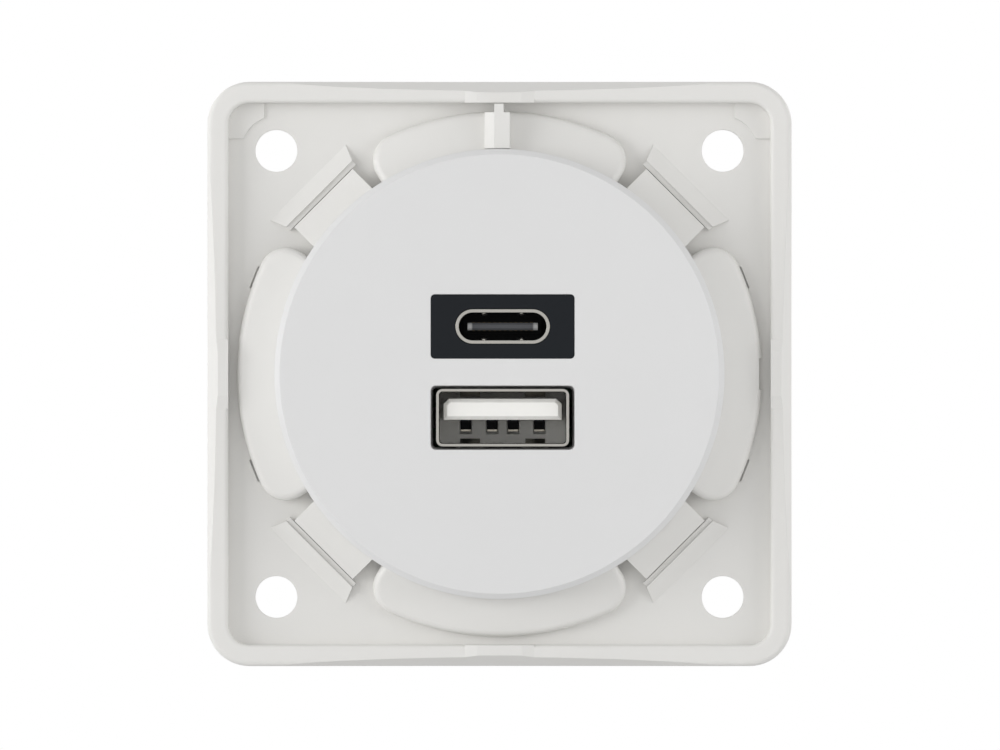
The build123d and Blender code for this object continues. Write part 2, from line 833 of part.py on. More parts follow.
# Connector board: the round board behind the ports
with BuildPart() as connector_board:
    with BuildSketch(front(-board_back)):
        Circle(joint_bore - board_fit)
        with Locations((port_shift, usb_c_height)):
            with GridLocations(usb_c_width - usb_c_wall, 0, 2, 1):
                Rectangle(
                    usb_c_wall + 2 * leg_clearance, leg_width + 2 * leg_clearance, mode=Mode.SUBTRACT
                )
        with Locations((port_shift, usb_a_height)):
            with GridLocations(usb_a_width - usb_a_wall, 0, 2, 1):
                Rectangle(
                    usb_a_wall + 2 * leg_clearance, leg_width + 2 * leg_clearance, mode=Mode.SUBTRACT
                )
        for across in header_row:
            with Locations((across, header_height)):
                Circle(pin_hole / 2, mode=Mode.SUBTRACT)
    extrude(amount=board_thickness)
save(connector_board, "connector_board")

# Power board: the board across the module, held in the rails of the rear housing
with BuildPart() as power_board:
    with BuildSketch(Plane.XY.offset(power_board_height)):
        with Locations((0, board_back)):
            Rectangle(
                power_board_width, power_board_rear - board_back, align=(Align.CENTER, Align.MIN)
            )
        for across in header_row:
            with Locations((across, header_bend)):
                Circle(pin_hole / 2, mode=Mode.SUBTRACT)
        for across in poles.values():
            with Locations((across, bar_rear - bar_thickness / 2)):
                Rectangle(
                    bar_tail_width + 2 * bar_slot_clearance,
                    bar_thickness + 2 * bar_slot_clearance,
                    mode=Mode.SUBTRACT,
                )
    extrude(amount=board_thickness)
save(power_board, "power_board")

# Transformer core: a ferrite frame with a middle leg
core_bottom = power_board_top + bobbin_base
spool_depth = core_depth + 2 * bobbin_wall + 2 * winding_bulge
core_position = power_board_rear - core_inset - spool_depth / 2
window_width = (core_width - core_leg - 2 * core_side) / 2
window_height = core_height - 2 * core_yoke
with BuildPart() as transformer_core:
    with BuildSketch(front(-core_position - core_depth / 2)):
        with Locations((0, core_bottom + core_height / 2)):
            Rectangle(core_width, core_height)
            with GridLocations(core_leg + window_width, 0, 2, 1):
                Rectangle(window_width, window_height, mode=Mode.SUBTRACT)
    extrude(amount=core_depth)
save(transformer_core, "transformer_core")

# Transformer bobbin: a square spool on the middle leg with two pin rails under it
tube_bore_width = core_leg + 2 * bobbin_fit
tube_bore_depth = core_depth + 2 * bobbin_fit
spool_width = core_leg + 2 * window_width - 2 * bobbin_fit
spool_bottom = core_bottom + core_yoke + bobbin_fit
spool_height = window_height - 2 * bobbin_fit
with BuildPart() as transformer_bobbin:
    with BuildSketch(Plane.XY.offset(spool_bottom)):
        with Locations((0, core_position)):
            Rectangle(tube_bore_width + 2 * bobbin_wall, tube_bore_depth + 2 * bobbin_wall)
    extrude(amount=spool_height)
    for level in (spool_bottom, spool_bottom + spool_height - bobbin_flange):
        with BuildSketch(Plane.XY.offset(level)):
            with Locations((0, core_position)):
                Rectangle(spool_width, spool_depth)
        extrude(amount=bobbin_flange)
    with BuildSketch(Plane.XY.offset(power_board_top)):
        with Locations((0, core_position)):
            Rectangle(core_width, spool_depth)
    extrude(amount=bobbin_base - bobbin_fit)
    with BuildSketch(Plane.XY.offset(power_board_top)):
        with Locations((0, core_position)):
            Rectangle(spool_width, spool_depth)
            Rectangle(spool_width, core_depth + 2 * bobbin_fit, mode=Mode.SUBTRACT)
    extrude(amount=spool_bottom - power_board_top)
    with BuildSketch(Plane.XY.offset(spool_bottom)):
        with Locations((0, core_position)):
            Rectangle(tube_bore_width, tube_bore_depth)
    extrude(amount=spool_height, mode=Mode.SUBTRACT)
save(transformer_bobbin, "transformer_bobbin")

# Transformer winding: the taped coil on the spool
with BuildPart() as transformer_winding:
    with BuildSketch(Plane.XY.offset(spool_bottom + bobbin_flange)):
        with Locations((0, core_position)):
            RectangleRounded(
                spool_width - 2 * bobbin_wall, spool_depth - 2 * bobbin_wall, 2 * bobbin_wall
            )
            Rectangle(
                tube_bore_width + 2 * bobbin_wall,
                tube_bore_depth + 2 * bobbin_wall,
                mode=Mode.SUBTRACT,
            )
    extrude(amount=spool_height - 2 * bobbin_flange)
save(transformer_winding, "transformer_winding")

# Bulk capacitors on the mains side
bulk_outside = power_board_width / 2 - rail_reach - bulk_rail_gap
bulk_diameter = bulk_outside - core_width / 2 - bulk_core_gap
bulk_top = half_chord(housing_bore, bulk_outside + bulk_side_gap)
with BuildPart() as bulk_capacitors:
    with BuildSketch(Plane.XY.offset(power_board_top)):
        with Locations((0, power_board_rear - bulk_inset - bulk_diameter / 2)):
            with GridLocations(2 * bulk_outside - bulk_diameter, 0, 2, 1):
                Circle(bulk_diameter / 2)
    extrude(amount=bulk_top - power_board_top)
    chamfer(bulk_capacitors.faces().group_by(Axis.Z)[-1].edges(), bulk_edge)
save(bulk_capacitors, "bulk_capacitors")

# Smoothing capacitors on the low-voltage side
smoothing_outside = half_chord(spigot_bore, power_board_top + smoothing_length) - smoothing_side_gap
with BuildPart() as smoothing_capacitors:
    with BuildSketch(Plane.XY.offset(power_board_top)):
        with Locations((0, board_back + smoothing_inset + smoothing_diameter / 2)):
            with GridLocations(2 * smoothing_outside - smoothing_diameter, 0, 2, 1):
                Circle(smoothing_diameter / 2)
    extrude(amount=smoothing_length)
    chamfer(smoothing_capacitors.faces().group_by(Axis.Z)[-1].edges(), smoothing_edge)
save(smoothing_capacitors, "smoothing_capacitors")

# Varistor and safety capacitor: two coated discs that hang on short leads beside the terminal block
disc_across = block_width / 2 + disc_gap + disc_thickness / 2
disc_along = block_front + disc_inset + disc_diameter / 2
disc_centre = power_board_height - disc_lead - disc_diameter / 2
for disc_name, disc_side in (("varistor", 1), ("safety_capacitor", -1)):
    with BuildPart() as coated_disc:
        with BuildSketch(Plane.YZ.offset(disc_side * disc_across)):
            with Locations((disc_along, disc_centre)):
                Circle(disc_diameter / 2)
        extrude(amount=disc_thickness / 2, both=True)
        fillet(coated_disc.edges().filter_by(GeomType.CIRCLE), disc_thickness / 4)
        with BuildSketch(Plane.XY.offset(power_board_height)):
            with Locations((disc_side * disc_across, disc_along)):
                with GridLocations(0, disc_lead_spread, 1, 2):
                    Circle(disc_lead_diameter / 2)
        extrude(amount=disc_centre - power_board_height)
    save(coated_disc, disc_name)

# Line choke: a ferrite drum under the power board
choke_bottom = power_board_height - choke_length
choke_across = half_chord(spigot_bore, choke_bottom) - under_gap - choke_diameter / 2
choke_along = board_back + under_inset + choke_diameter / 2
with BuildPart() as line_choke:
    with BuildSketch(Plane.XY.offset(choke_bottom)):
        with Locations((-choke_across, choke_along)):
            Circle(choke_waist / 2)
    extrude(amount=choke_length)
    for level in (choke_bottom, power_board_height - choke_flange):
        with BuildSketch(Plane.XY.offset(level)):
            with Locations((-choke_across, choke_along)):
                Circle(choke_diameter / 2)
        extrude(amount=choke_flange)
save(line_choke, "line_choke")

# Fuse: a flat box under the power board
fuse_across = half_chord(spigot_bore, power_board_height - fuse_length) - under_gap - fuse_width / 2
with BuildPart() as fuse:
    with BuildSketch(Plane.XY.offset(power_board_height)):
        with Locations((fuse_across, board_back + under_inset)):
            Rectangle(fuse_width, fuse_thickness, align=(Align.CENTER, Align.MIN))
    extrude(amount=-fuse_length)
    fillet(fuse.edges().filter_by(Axis.Z), fuse_round)
    fillet(fuse.faces().sort_by(Axis.Z)[0].edges(), fuse_round / 2)
save(fuse, "fuse")

# Bridge rectifier, controller and charging chip
chip_front = header_bend + header_pin / 2 + chip_gap
with BuildPart() as bridge_rectifier:
    with BuildSketch(Plane.XY.offset(power_board_height)):
        with Locations((-chip_spread / 2, chip_front)):
            Rectangle(rectifier_width, rectifier_length, align=(Align.CENTER, Align.MIN))
    extrude(amount=-rectifier_height, taper=5)
save(bridge_rectifier, "bridge_rectifier")

with BuildPart() as controller_chip:
    with BuildSketch(Plane.XY.offset(power_board_height)):
        with Locations((chip_spread / 2, chip_front)):
            Rectangle(controller_width, controller_length, align=(Align.CENTER, Align.MIN))
    extrude(amount=-controller_height, taper=5)
save(controller_chip, "controller_chip")

with BuildPart() as charge_chip:
    with BuildSketch(front(-board_back)):
        with Locations((0, charge_chip_rise)):
            Rectangle(charge_chip_side, charge_chip_side)
    extrude(amount=-charge_chip_height)
save(charge_chip, "charge_chip")

# Rear housing: a cup with a latched spigot, board rails, vents and a notch for the terminal block,
# closed in front of the block by a web
with BuildPart() as rear_housing:
    with BuildSketch(radial(0)):
        Polygon(
            (spigot_bore, -board_back),
            (spigot_radius, -board_back),
            (spigot_radius, -sleeve_depth),
            (sleeve_radius, -sleeve_depth),
            (sleeve_radius, -housing_depth),
            (0, -housing_depth),
            (0, housing_back - housing_depth),
            (housing_bore, housing_back - housing_depth),
            (housing_bore, -sleeve_depth - 2 * spigot_rise),
            (spigot_bore, -sleeve_depth - spigot_rise),
            align=None,
        )
    revolve(axis=Axis.Y)
    fillet(rear_housing.faces().sort_by(Axis.Y)[-1].outer_wire().edges(), housing_round)
    for angle in side_angles:
        with BuildSketch(radial(angle)):
            Polygon(
                (spigot_radius - spigot_wall / 2, -board_back - latch_offset - latch_clearance),
                (spigot_radius, -board_back - latch_offset - latch_clearance),
                (
                    spigot_radius + latch_reach,
                    -board_back - latch_offset - latch_length + latch_clearance,
                ),
                (
                    spigot_radius - spigot_wall / 2,
                    -board_back - latch_offset - latch_length + latch_clearance,
                ),
                align=None,
            )
        extrude(amount=latch_width / 2 - latch_clearance, both=True)
    rail_edge = power_board_width / 2 - rail_reach
    rail_wall = half_chord(housing_bore, power_board_height - rail_thickness) + housing_wall / 2
    for level in (power_board_height - rail_fit - rail_thickness, power_board_top + rail_fit):
        for turn in (1, -1):
            with BuildSketch(front(housing_back - housing_depth)):
                with Locations((turn * (rail_edge + rail_wall) / 2, level)):
                    Rectangle(rail_wall - rail_edge, rail_thickness, align=(Align.CENTER, Align.MIN))
            extrude(amount=housing_depth - housing_back - sleeve_depth - 2 * spigot_rise)
    with BuildSketch(front(-housing_depth)):
        with Locations((0, power_board_height + block_fit)):
            Rectangle(
                block_width + 2 * block_fit, 2 * sleeve_radius, align=(Align.CENTER, Align.MAX)
            )
    extrude(amount=housing_depth - block_front + block_fit, mode=Mode.SUBTRACT)
    with BuildSketch(front(block_fit - block_front)):
        Circle(housing_bore + housing_wall / 2)
        with Locations((0, block_bottom + web_lap)):
            Rectangle(
                2 * sleeve_radius,
                sleeve_radius,
                align=(Align.CENTER, Align.MAX),
                mode=Mode.INTERSECT,
            )
    extrude(amount=web_thickness)
    with BuildSketch(front(-housing_depth)):
        with Locations((0, vent_height)):
            with GridLocations(vent_pitch, 0, vent_count, 1):
                SlotOverall(vent_length, vent_width, rotation=90)
    extrude(amount=housing_back, mode=Mode.SUBTRACT)
save(rear_housing, "rear_housing")

# Terminal block: the moulded body with one open pocket and one screw well for each pole
pocket_front = cage_front - cage_end_clearance
pocket_rear = head_front
pocket_top = terminal_height + cage_depth / 2 + cage_end_clearance
with BuildPart() as terminal_block:
    with BuildSketch(front(-block_rear)):
        with Locations((0, power_board_height)):
            Rectangle(block_width, block_height, align=(Align.CENTER, Align.MAX))
    extrude(amount=block_rear - block_front)
    chamfer(terminal_block.edges().filter_by(Axis.Z).group_by(Axis.Y)[-1], block_edge)
    chamfer(terminal_block.faces().sort_by(Axis.Z)[0].edges().filter_by(Axis.Y), block_edge)
    for across in poles.values():
        with BuildSketch(Plane.XY.offset(block_bottom)):
            with Locations((across, pocket_front)):
                Rectangle(
                    cage_width + 2 * cage_clearance,
                    pocket_rear - pocket_front,
                    align=(Align.CENTER, Align.MIN),
                )
        extrude(amount=pocket_top - block_bottom, mode=Mode.SUBTRACT)
        with BuildSketch(Plane.XY.offset(pocket_top - 1)):
            with Locations((across, bar_rear - bar_thickness / 2)):
                Rectangle(
                    bar_width + 2 * bar_slot_clearance, bar_thickness + 2 * bar_slot_clearance
                )
        extrude(amount=power_board_height - pocket_top + 1, mode=Mode.SUBTRACT)
        with BuildSketch(front(-block_rear)):
            with Locations((across, terminal_height)):
                Circle(screw_head_diameter / 2 + screw_well_clearance)
        extrude(amount=block_rear - pocket_rear + 0.5, mode=Mode.SUBTRACT)
    with BuildSketch(front(-block_rear)):
        Rectangle(pole_groove_width, 4 * block_height)
    extrude(amount=pole_groove_depth, mode=Mode.SUBTRACT)
    with BuildSketch(Plane.XY.offset(block_bottom)):
        Rectangle(pole_groove_width, 4 * block_rear)
    extrude(amount=pole_groove_depth, mode=Mode.SUBTRACT)
save(terminal_block, "terminal_block")

# Contact bar, lifting cage and clamp screw of each pole
for pole, across in poles.items():
    with BuildPart() as terminal_bar:
        with BuildSketch(front(-bar_rear)):
            with Locations((across, cage_bottom - bar_overhang)):
                Rectangle(
                    bar_width,
                    power_board_height - board_thickness / 2 - cage_bottom,
                    align=(Align.CENTER, Align.MIN),
                )
            with Locations((across, power_board_height - board_thickness)):
                Rectangle(
                    bar_tail_width, board_thickness + bar_tail_rise, align=(Align.CENTER, Align.MIN)
                )
        extrude(amount=bar_thickness)
    save(terminal_bar, f"terminal_bar_{pole}")

    with BuildPart() as clamp_cage:
        with BuildSketch(Plane.XY.offset(cage_bottom)):
            with Locations((across, cage_front)):
                Rectangle(cage_width, cage_rear - cage_front, align=(Align.CENTER, Align.MIN))
            with Locations((across, cage_front + cage_front_wall)):
                Rectangle(
                    cage_width - 2 * cage_side_wall,
                    cage_window,
                    align=(Align.CENTER, Align.MIN),
                    mode=Mode.SUBTRACT,
                )
        extrude(amount=cage_depth)
        cage_corners = clamp_cage.edges().filter_by(Axis.Z)
        fillet(
            cage_corners.group_by(Axis.Y)[0] + cage_corners.group_by(Axis.Y)[-1],
            cage_round,
        )
        with BuildSketch(front(-cage_rear)):
            with Locations((across, terminal_height)):
                Circle(screw_diameter / 2 + screw_fit)
        extrude(amount=cage_rear_wall, mode=Mode.SUBTRACT)
    save(clamp_cage, f"clamp_cage_{pole}")

    with BuildPart() as clamp_screw:
        with BuildSketch(front(-head_front)):
            with Locations((across, terminal_height)):
                Circle(screw_diameter / 2)
        extrude(amount=head_front - bar_rear - screw_tip_gap)
        chamfer(clamp_screw.faces().sort_by(Axis.Y)[0].edges(), screw_diameter / 10)
        with BuildSketch(front(-head_rear)):
            with Locations((across, terminal_height)):
                Circle(screw_head_diameter / 2)
        extrude(amount=screw_head_height)
        chamfer(clamp_screw.faces().sort_by(Axis.Y)[-1].edges(), screw_head_height / 8)
        with BuildSketch(front(-head_rear)):
            with Locations((across, terminal_height)):
                Rectangle(screw_head_diameter, screw_slot_width)
                Rectangle(screw_slot_width, screw_cross_length)
        extrude(amount=screw_slot_depth, mode=Mode.SUBTRACT)
    save(clamp_screw, f"clamp_screw_{pole}")
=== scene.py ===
import math

import bpy
from bpy.props import FloatProperty, FloatVectorProperty, IntProperty, PointerProperty
from mathutils import Matrix, Vector


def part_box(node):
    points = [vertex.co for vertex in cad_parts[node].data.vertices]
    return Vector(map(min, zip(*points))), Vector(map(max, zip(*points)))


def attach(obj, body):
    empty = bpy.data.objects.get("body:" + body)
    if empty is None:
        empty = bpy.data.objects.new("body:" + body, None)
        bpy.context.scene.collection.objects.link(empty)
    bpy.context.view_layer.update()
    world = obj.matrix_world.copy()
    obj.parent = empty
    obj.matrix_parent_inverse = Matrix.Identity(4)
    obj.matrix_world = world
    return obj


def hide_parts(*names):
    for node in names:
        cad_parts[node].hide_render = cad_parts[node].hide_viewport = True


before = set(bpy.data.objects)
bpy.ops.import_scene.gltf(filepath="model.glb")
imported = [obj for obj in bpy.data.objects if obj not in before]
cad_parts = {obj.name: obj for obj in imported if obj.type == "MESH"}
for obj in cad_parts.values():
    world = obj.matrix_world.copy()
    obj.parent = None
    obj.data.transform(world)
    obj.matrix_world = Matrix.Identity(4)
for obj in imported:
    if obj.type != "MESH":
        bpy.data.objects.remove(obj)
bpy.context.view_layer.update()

bl_info = {
    "name": "USB wall socket",
    "version": (1, 0, 0),
    "blender": (4, 5, 0),
    "location": "View3D > Sidebar > Wall socket",
    "description": "Finishes, clamp details and studio for a USB wall socket insert",
    "category": "Object",
}

MM = 0.001

# Scales of the finishes' patterns, on coordinates in metres
FLOW_MARKS = 70
METAL_CLOUDS = 500
PORT_GRIT = 2600
STREAK_ALONG = 300
STREAK_ACROSS = 9000
BOARD_TRACKS = 420
BOARD_WEAVE = 2200
FERRITE_GRIT = 3800
TAPE_TURNS = 170
CAN_SCUFFS = 900
LACQUER_PEEL = 700
FLOOR_SPECKS = 40

# Heights of their bumps and radius of the edges that they show
PORT_GRIT_HEIGHT = 0.006 * MM
PORT_EDGE = 0.08 * MM
STREAK_HEIGHT = 0.004 * MM
METAL_EDGE = 0.04 * MM
TRACK_HEIGHT = 0.03 * MM
FERRITE_GRIT_HEIGHT = 0.02 * MM
TAPE_TURN_HEIGHT = 0.03 * MM
CAN_SCUFF_HEIGHT = 0.01 * MM
LACQUER_PEEL_HEIGHT = 0.06 * MM

# Fineness of the made meshes
SHAFT_SIDES = 40
HEAD_SIDES = 64
THREAD_STEPS = 36
SPRING_SIDES = 24
FLOOR_SIDES = 96
CREASE_ANGLE = math.radians(32)


def shade(red, green, blue):
    """A colour given as it shows on a screen, 0 to 255, in the linear values that Blender keeps."""
    parts = [value / 255 for value in (red, green, blue)]
    return tuple(p / 12.92 if p <= 0.04045 else ((p + 0.055) / 1.055) ** 2.4 for p in parts)


def colour_of(name, description, red, green, blue):
    return FloatVectorProperty(
        name=name, description=description, subtype="COLOR", size=3, min=0, max=1,
        default=shade(red, green, blue),
    )


def length_of(name, description, millimetres):
    return FloatProperty(
        name=name, description=description, subtype="DISTANCE", unit="LENGTH", precision=5,
        default=millimetres * MM,
    )


def power_of(name, description, watts):
    return FloatProperty(name=name, description=description, unit="POWER", default=watts)


# Sizes and colours that a user would change
class MouldingLook(bpy.types.PropertyGroup):
    plate: colour_of("Plate", "White of the mounting plate", 229, 228, 225)
    collar: colour_of("Collar", "White of the lobes and clips", 229, 228, 225)
    cover: colour_of("Cover", "White of the round front cover", 225, 225, 225)
    housing: colour_of("Rear housing", "White of the cup behind the plate", 226, 225, 222)
    block: colour_of("Terminal block", "Grey of the terminal block", 150, 152, 154)
    grain: length_of("Grain", "Distance between the bumps of the moulded grain", 0.30)
    grain_depth: length_of("Grain depth", "Height of the bumps of the moulded grain", 0.006)
    edge: length_of("Edge radius", "Radius that the moulded edges show", 0.10)


class PortLook(bpy.types.PropertyGroup):
    bezel: colour_of("Bezel", "Dark plastic round the USB-C port", 27, 30, 34)
    black: colour_of("Black tongue", "Plastic of the USB-C tongue", 84, 85, 88)
    latch: colour_of("Latch", "Metal at the two ends of the USB-C tongue", 165, 165, 165)
    latch_spread: length_of("Latch spread", "From the middle of the USB-C tongue to its metal ends", 2.8)
    white: colour_of("White tongue", "Plastic of the USB-A tongue", 248, 247, 243)
    steel: colour_of("Steel", "Plated steel at the mouth of the tubes", 152, 150, 145)
    grey: colour_of("Grey steel", "Steel deep in the USB-A tube", 160, 158, 152)
    # Painted shade: this near-black is painted where shade falls deep in the ports, inside the USB-C
    # tube, on its tongue and on the USB-A contact strips
    painted_shade: colour_of("Dark steel", "Steel deep in the USB-C tube", 22, 22, 23)
    # Depth over which the painted shade comes in behind a tube's mouth and along the USB-C tongue
    mouth: length_of("Mouth", "Depth at which a tube has turned dull", 0.9)
    spring_spread: length_of("Spring spread", "From the middle of the USB-C tube to its springs", 1.8)
    spring_width: length_of("Spring width", "Width of a spring in the USB-C tube", 0.55)
    spring_length: length_of("Spring length", "Length of a spring along the USB-C tube", 1.2)
    spring_rise: length_of("Spring rise", "How far a spring stands off the USB-C tube", 0.25)
    spring_inset: length_of("Spring inset", "From the mouth of the USB-C tube to its springs", 1.1)
    gold: colour_of("Gold", "Plating of the header pins", 214, 178, 104)
    dull_gold: colour_of("Dull gold", "Plating of the USB-C contacts", 74, 64, 46)
    tin: colour_of("Tin", "Bent feet of the USB-A contacts", 185, 180, 168)
    foot: length_of("Contact foot", "From the front of a USB-A contact foot to its back", 1.0)


class InnerLook(bpy.types.PropertyGroup):
    board: colour_of("Board", "Lacquer of the boards", 20, 88, 52)
    track: colour_of("Track", "Lacquer over the copper tracks", 44, 122, 74)
    ferrite: colour_of("Ferrite", "Transformer core and choke", 62, 62, 64)
    bobbin: colour_of("Bobbin", "Moulded bobbin, header strip and chips", 30, 30, 32)
    tape: colour_of("Tape", "Film round the winding", 232, 190, 52)
    sleeve: colour_of("Sleeve", "Sleeve of the bulk capacitors", 38, 42, 58)
    can: colour_of("Can", "Aluminium of the cans", 200, 201, 203)
    lid: length_of("Can lid", "Depth of a can's lid", 0.7)
    lid_edge: length_of("Can lid edge", "Depth at which the lid starts to turn into the side", 0.3)
    disc: colour_of("Disc", "Lacquer of the coated discs", 40, 82, 150)
    brass: colour_of("Brass", "Contact bars", 206, 172, 96)
    zinc: colour_of("Zinc", "Plated cages and clamp screws", 186, 190, 194)


class ClampSizes(bpy.types.PropertyGroup):
    thread_pitch: length_of("Thread pitch", "Travel of the cage for one turn of its screw", 0.5)
    thread_depth: length_of("Thread depth", "Height of the thread above its root", 0.25)
    shaft_radius: length_of("Shaft radius", "Radius over the thread", 1.5)
    head_height: length_of("Head height", "Height of the screw head", 2.2)
    head_edge: length_of("Head edge", "Bevel round the screw head", 0.275)
    slot_width: length_of("Slot width", "Width of the driver slot and its cross", 0.8)
    slot_depth: length_of("Slot depth", "Depth of the driver slot", 1.0)
    cross_length: length_of("Cross length", "Length of the short slot", 3.0)
    wall: length_of("Cage wall", "Thickness of the cage's clamping wall", 1.0)
    side: length_of("Cage side", "Thickness of the cage's side walls", 0.8)
    tooth_pitch: length_of("Tooth pitch", "Distance between the gripping teeth", 0.7)
    tooth_height: length_of("Tooth height", "Height of a gripping tooth", 0.18)
    tooth_fit: length_of("Tooth fit", "Room between the teeth and the cage's side walls", 0.05)
    tooth_count: IntProperty(
        name="Teeth", description="Gripping teeth in each cage", default=6, min=1, max=12
    )


class StudioLook(bpy.types.PropertyGroup):
    lens: FloatProperty(
        name="Lens", description="Focal length of the camera", subtype="DISTANCE_CAMERA", default=800
    )
    distance: length_of("Camera distance", "From the camera to the rim of the plate", 2110)
    aim_right: length_of("Aim right", "How far right of the middle the camera looks", 0.05)
    aim_up: length_of("Aim up", "How far above the middle the camera looks", -0.10)
    key: power_of("Key", "Power of the lamp on the left", 5.9)
    front: power_of("Front", "Power of the lamp in front", 0.7)
    right: power_of("Right", "Power of the lamp on the right", 3.4)
    left_edge: power_of("Left edge", "Power of the lamp far left", 1.1)
    right_edge: power_of("Right edge", "Power of the lamp far right", 0.66)
    rear_left: power_of("Rear left", "Power of the lamp behind on the left", 1.6)
    rear_right: power_of("Rear right", "Power of the lamp behind on the right", 1.12)
    sky: FloatProperty(name="Sky", description="Even light from all round", default=0.50, min=0, max=1)
    floor_drop: length_of("Floor drop", "From the middle of the plate down to the floor", 75)
    floor_radius: length_of("Floor radius", "Radius of the floor", 700)
    fade_start: length_of("Fade start", "From the middle of the floor to where it starts to pale", 100)
    fade_end: length_of("Fade end", "From the middle of the floor to where it is white", 450)
    floor: colour_of("Floor", "Plain pale floor", 236, 236, 236)


class WallSocket(bpy.types.PropertyGroup):
    mouldings: PointerProperty(type=MouldingLook, name="Mouldings", description="White and grey plastics")
    ports: PointerProperty(type=PortLook, name="Ports", description="USB ports")
    inner: PointerProperty(type=InnerLook, name="Inner parts", description="Boards, parts, inner metals")
    clamps: PointerProperty(type=ClampSizes, name="Clamps", description="Clamp screws and cages")
    studio: PointerProperty(type=StudioLook, name="Studio", description="Camera, lamps and floor")


# Node building
class Wire:
    """One output of a node. Arithmetic on it adds Math nodes."""

    def __init__(self, tree, socket):
        self.tree = tree
        self.socket = socket

    def math(self, operation, left, right):
        made = self.tree.nodes.new("ShaderNodeMath")
        made.operation = operation
        for place, part in zip(made.inputs, (left, right)):
            if isinstance(part, Wire):
                self.tree.links.new(part.socket, place)
            else:
                place.default_value = part
        return Wire(self.tree, made.outputs[0])

    def __add__(self, other):
        return self.math("ADD", self, other)

    def __radd__(self, other):
        return self.math("ADD", other, self)

    def __sub__(self, other):
        return self.math("SUBTRACT", self, other)

    def __rsub__(self, other):
        return self.math("SUBTRACT", other, self)

    def __mul__(self, other):
        return self.math("MULTIPLY", self, other)

    def __rmul__(self, other):
        return self.math("MULTIPLY", other, self)

    def __truediv__(self, other):
        return self.math("DIVIDE", self, other)

    def __rtruediv__(self, other):
        return self.math("DIVIDE", other, self)

    def __gt__(self, other):
        return self.math("GREATER_THAN", self, other)


class Web:
    """A node tree under construction."""

    def __init__(self, tree):
        self.tree = tree
        tree.nodes.clear()

    def node(self, kind, settings=None, inputs=None, output=0):
        """One node: its settings first, then the values and links of its sockets."""
        made = self.tree.nodes.new(kind)
        for key, value in (settings or {}).items():
            setattr(made, key, value)
        for key, value in (inputs or {}).items():
            for part in value if isinstance(value, list) else [value]:
                if isinstance(part, Wire):
                    self.tree.links.new(part.socket, made.inputs[key])
                else:
                    made.inputs[key].default_value = part
        return Wire(self.tree, made.outputs[output]) if len(made.outputs) else made

    def seen(self):
        """1 for what the camera, a mirror or a glass shows, 0 for light on its way."""
        rays = ("Camera", "Glossy", "Transmission")
        return sum(self.node("ShaderNodeLightPath", output=f"Is {ray} Ray") for ray in rays) > 0.5


class Finish(Web):
    """A procedural material on the object's own coordinates."""

    def __init__(self, name):
        self.material = bpy.data.materials.new(name)
        self.material.use_nodes = True
        super().__init__(self.material.node_tree)
        self.place = self.node("ShaderNodeTexCoord", output="Object")

    def noise(self, scale, detail=3.0, rough=0.6, vector=None):
        inputs = {"Vector": vector or self.place, "Scale": scale, "Detail": detail, "Roughness": rough}
        return self.node("ShaderNodeTexNoise", None, inputs)

    def streaks(self, along):
        """Fine lines along one axis."""
        scale = tuple(STREAK_ALONG if letter == along else STREAK_ACROSS for letter in "XYZ")
        stretched = self.node("ShaderNodeMapping", None, {"Vector": self.place, "Scale": scale})
        return self.noise(1, vector=stretched)

    def axis(self, letter):
        return self.node("ShaderNodeSeparateXYZ", None, {"Vector": self.place}, letter)

    def steps(self, value, low, high):
        """0 before low, 1 past high, smooth between."""
        inputs = {"Value": value, "From Min": low, "From Max": high}
        return self.node("ShaderNodeMapRange", {"interpolation_type": "SMOOTHSTEP"}, inputs)

    def mix(self, factor, one, two):
        """From one colour to another. Sockets 6 and 7 of a Mix node are its colours."""
        parts = [part if isinstance(part, Wire) else (*part, 1) for part in (one, two)]
        return self.node("ShaderNodeMix", {"data_type": "RGBA"}, {0: factor, 6: parts[0], 7: parts[1]}, 2)

    def shades(self, pattern, colour, darkest, palest):
        """A colour that follows a pattern between two strengths of itself."""
        tints = [[min(1.0, part * strength) for part in colour] for strength in (darkest, palest)]
        return self.mix(pattern, *tints)

    def bump(self, height, depth, edge=0.0):
        inputs = {"Height": height, "Distance": depth}
        if edge:
            inputs["Normal"] = self.node("ShaderNodeBevel", {"samples": 6}, {"Radius": edge})
        return self.node("ShaderNodeBump", None, inputs)

    def surface(self, **sockets):
        """Closes the material. A socket's name has _ for each space."""
        inputs = {key.replace("_", " "): value for key, value in sockets.items()}
        shader = self.node("ShaderNodeBsdfPrincipled", None, inputs)
        self.node("ShaderNodeOutputMaterial", None, {"Surface": shader})
        return self.material

    def drawn_metal(self, colour, rough, along="Y"):
        """Closes the material as bare metal with fine streaks along one axis."""
        streak = self.streaks(along)
        return self.surface(
            Base_Color=colour,
            Metallic=1.0,
            Roughness=vary(rough, streak, 0.18),
            Normal=self.bump(streak, STREAK_HEIGHT, METAL_EDGE),
        )


def vary(middle, pattern, spread):
    """A value that follows a pattern to both sides of its middle."""
    return middle + (pattern - 0.5) * spread


def moulding(name, colour, look, rough=0.46, grain=1.0, shine=0.4):
    """Moulded plastic: even colour with faint flow marks, fine grain and soft edges."""
    finish = Finish(name)
    flow = finish.noise(FLOW_MARKS)
    fine = finish.noise(1 / (look.grain * grain), rough=0.65)
    return finish.surface(
        Base_Color=finish.shades(flow, colour, 0.975, 1.02),
        Roughness=vary(vary(rough, fine, 0.16), flow, 0.08),
        Specular_IOR_Level=shine,
        Normal=finish.bump(fine, look.grain_depth, look.edge),
    )


def metal(name, colour, rough, along="Y", worn=0.12):
    """Plated metal with cloudy wear and fine streaks."""
    finish = Finish(name)
    cloud = finish.noise(METAL_CLOUDS)
    worn_colour = finish.shades(cloud, colour, 1 - worn, 1 + worn / 3)
    return finish.drawn_metal(worn_colour, vary(rough, cloud, 0.1), along)


def dress(material, *nodes):
    """Gives CAD nodes their finish."""
    for node in nodes:
        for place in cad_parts[node].material_slots:
            place.material = material


